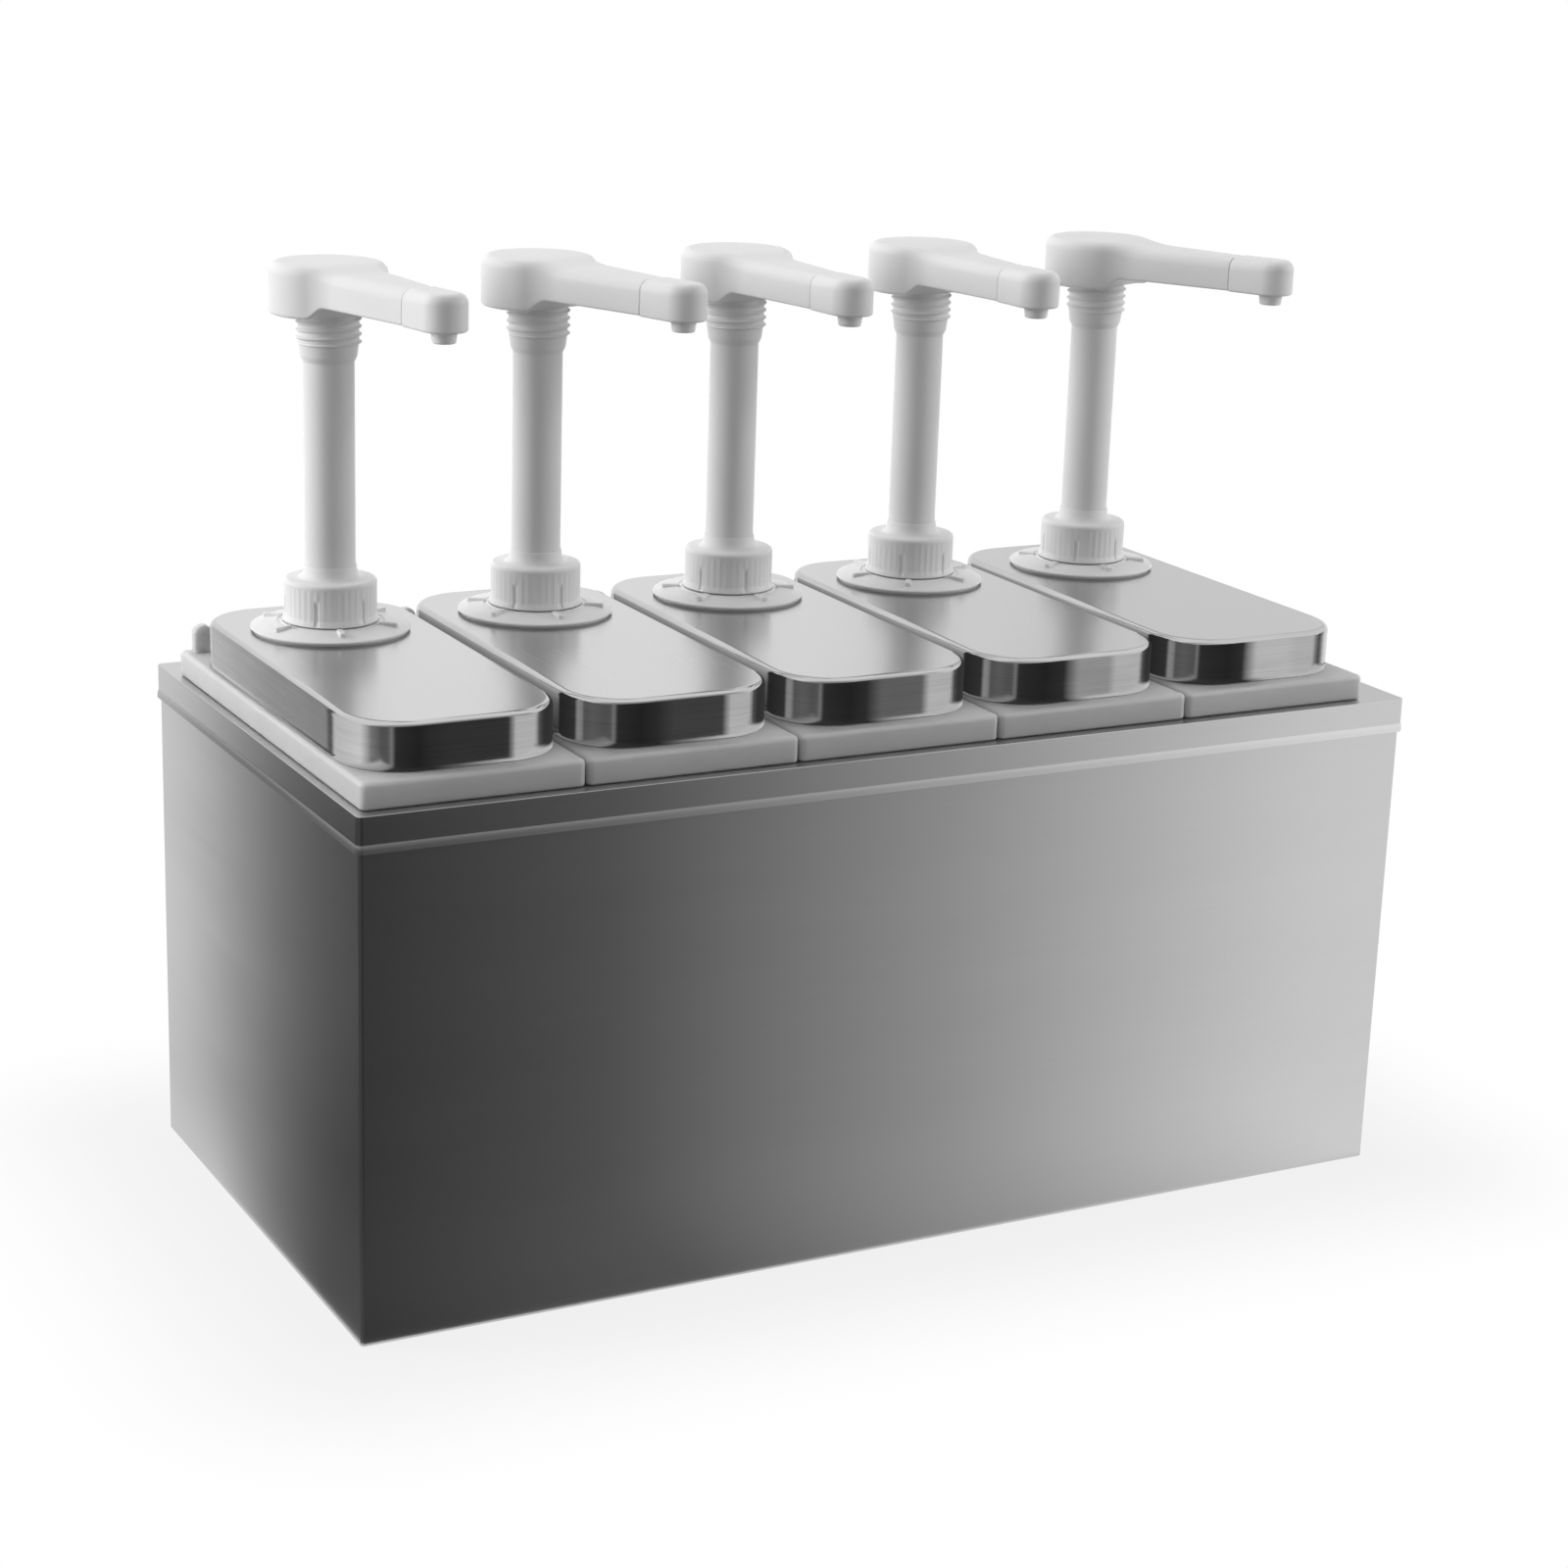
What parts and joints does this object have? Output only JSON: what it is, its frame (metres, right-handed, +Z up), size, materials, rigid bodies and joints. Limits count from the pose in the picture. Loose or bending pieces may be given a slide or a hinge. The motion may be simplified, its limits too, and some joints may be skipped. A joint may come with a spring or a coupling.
{
  "type": "sauce pump dispenser",
  "caption": "Countertop sauce pump station: stainless cabinet with lift-out jars side by side, each with a stainless lid and a sprung push pump with a turning spout.",
  "frame": {"origin": "middle of the cabinet's underside, on the table", "axes": "+Z up, -Y towards the user and the spouts, +X to the user's right"},
  "size_m": [0.5252, 0.2682, 0.4308],
  "materials": {
    "cabinet_steel": "brushed",
    "lid_steel": "fine brushed",
    "jar_plastic": "matte",
    "pump_plastic": "satin",
    "spring_steel": "bright wire"
  },
  "bodies": {
    "station": {"cabinet_shell": "cabinet_steel", "top_frame": "cabinet_steel", "base_plate": "cabinet_steel"},
    "container_1": {"jar_1": "jar_plastic"},
    "lid_unit_1": {"lid_1": "lid_steel", "mount_flange_1": "pump_plastic", "collar_1": "pump_plastic", "barrel_1": "pump_plastic", "suction_foot_1": "pump_plastic", "spring_1": "spring_steel"},
    "piston_unit_1": {"piston_1": "pump_plastic"},
    "plunger_1": {"riser_1": "pump_plastic", "head_1": "pump_plastic", "nozzle_1": "pump_plastic"},
    "container_2": {"jar_2": "jar_plastic"},
    "lid_unit_2": {"lid_2": "lid_steel", "mount_flange_2": "pump_plastic", "collar_2": "pump_plastic", "barrel_2": "pump_plastic", "suction_foot_2": "pump_plastic", "spring_2": "spring_steel"},
    "piston_unit_2": {"piston_2": "pump_plastic"},
    "plunger_2": {"riser_2": "pump_plastic", "head_2": "pump_plastic", "nozzle_2": "pump_plastic"},
    "container_3": {"jar_3": "jar_plastic"},
    "lid_unit_3": {"lid_3": "lid_steel", "mount_flange_3": "pump_plastic", "collar_3": "pump_plastic", "barrel_3": "pump_plastic", "suction_foot_3": "pump_plastic", "spring_3": "spring_steel"},
    "piston_unit_3": {"piston_3": "pump_plastic"},
    "plunger_3": {"riser_3": "pump_plastic", "head_3": "pump_plastic", "nozzle_3": "pump_plastic"},
    "container_4": {"jar_4": "jar_plastic"},
    "lid_unit_4": {"lid_4": "lid_steel", "mount_flange_4": "pump_plastic", "collar_4": "pump_plastic", "barrel_4": "pump_plastic", "suction_foot_4": "pump_plastic", "spring_4": "spring_steel"},
    "piston_unit_4": {"piston_4": "pump_plastic"},
    "plunger_4": {"riser_4": "pump_plastic", "head_4": "pump_plastic", "nozzle_4": "pump_plastic"},
    "container_5": {"jar_5": "jar_plastic"},
    "lid_unit_5": {"lid_5": "lid_steel", "mount_flange_5": "pump_plastic", "collar_5": "pump_plastic", "barrel_5": "pump_plastic", "suction_foot_5": "pump_plastic", "spring_5": "spring_steel"},
    "piston_unit_5": {"piston_5": "pump_plastic"},
    "plunger_5": {"riser_5": "pump_plastic", "head_5": "pump_plastic", "nozzle_5": "pump_plastic"}
  },
  "joints": [
    {"name": "jar_lift_1", "type": "slide", "parent": "station", "child": "container_1", "axis": [0, 0, 1], "range_m": [0, 0.23]},
    {"name": "lid_lift_1", "type": "slide", "parent": "container_1", "child": "lid_unit_1", "axis": [0, 0, 1], "range_m": [0, 0.24]},
    {"name": "press_1", "type": "slide", "parent": "lid_unit_1", "child": "piston_unit_1", "axis": [0, 0, -1], "range_m": [0, 0.09], "stiffness_N_per_m": 200, "springref_m": -0.03, "deforming": ["spring_1"]},
    {"name": "swivel_1", "type": "hinge", "parent": "piston_unit_1", "child": "plunger_1", "pos_m": [-0.2085, 0.0434, 0.35], "axis": [0, 0, 1], "range_deg": [-69, 11]},
    {"name": "jar_lift_2", "type": "slide", "parent": "station", "child": "container_2", "axis": [0, 0, 1], "range_m": [0, 0.23]},
    {"name": "lid_lift_2", "type": "slide", "parent": "container_2", "child": "lid_unit_2", "axis": [0, 0, 1], "range_m": [0, 0.24]},
    {"name": "press_2", "type": "slide", "parent": "lid_unit_2", "child": "piston_unit_2", "axis": [0, 0, -1], "range_m": [0, 0.09], "stiffness_N_per_m": 200, "springref_m": -0.03, "deforming": ["spring_2"]},
    {"name": "swivel_2", "type": "hinge", "parent": "piston_unit_2", "child": "plunger_2", "pos_m": [-0.1085, 0.0434, 0.35], "axis": [0, 0, 1], "range_deg": [-36, 4]},
    {"name": "jar_lift_3", "type": "slide", "parent": "station", "child": "container_3", "axis": [0, 0, 1], "range_m": [0, 0.23]},
    {"name": "lid_lift_3", "type": "slide", "parent": "container_3", "child": "lid_unit_3", "axis": [0, 0, 1], "range_m": [0, 0.24]},
    {"name": "press_3", "type": "slide", "parent": "lid_unit_3", "child": "piston_unit_3", "axis": [0, 0, -1], "range_m": [0, 0.09], "stiffness_N_per_m": 200, "springref_m": -0.03, "deforming": ["spring_3"]},
    {"name": "swivel_3", "type": "hinge", "parent": "piston_unit_3", "child": "plunger_3", "pos_m": [-0.0085, 0.0434, 0.35], "axis": [0, 0, 1], "range_deg": [-24, 16]},
    {"name": "jar_lift_4", "type": "slide", "parent": "station", "child": "container_4", "axis": [0, 0, 1], "range_m": [0, 0.23]},
    {"name": "lid_lift_4", "type": "slide", "parent": "container_4", "child": "lid_unit_4", "axis": [0, 0, 1], "range_m": [0, 0.24]},
    {"name": "press_4", "type": "slide", "parent": "lid_unit_4", "child": "piston_unit_4", "axis": [0, 0, -1], "range_m": [0, 0.09], "stiffness_N_per_m": 200, "springref_m": -0.03, "deforming": ["spring_4"]},
    {"name": "swivel_4", "type": "hinge", "parent": "piston_unit_4", "child": "plunger_4", "pos_m": [0.0915, 0.0434, 0.35], "axis": [0, 0, 1], "range_deg": [-22, 18]},
    {"name": "jar_lift_5", "type": "slide", "parent": "station", "child": "container_5", "axis": [0, 0, 1], "range_m": [0, 0.23]},
    {"name": "lid_lift_5", "type": "slide", "parent": "container_5", "child": "lid_unit_5", "axis": [0, 0, 1], "range_m": [0, 0.24]},
    {"name": "press_5", "type": "slide", "parent": "lid_unit_5", "child": "piston_unit_5", "axis": [0, 0, -1], "range_m": [0, 0.09], "stiffness_N_per_m": 200, "springref_m": -0.03, "deforming": ["spring_5"]},
    {"name": "swivel_5", "type": "hinge", "parent": "piston_unit_5", "child": "plunger_5", "pos_m": [0.1915, 0.0434, 0.35], "axis": [0, 0, 1], "range_deg": [-44, 36]}
  ]
}
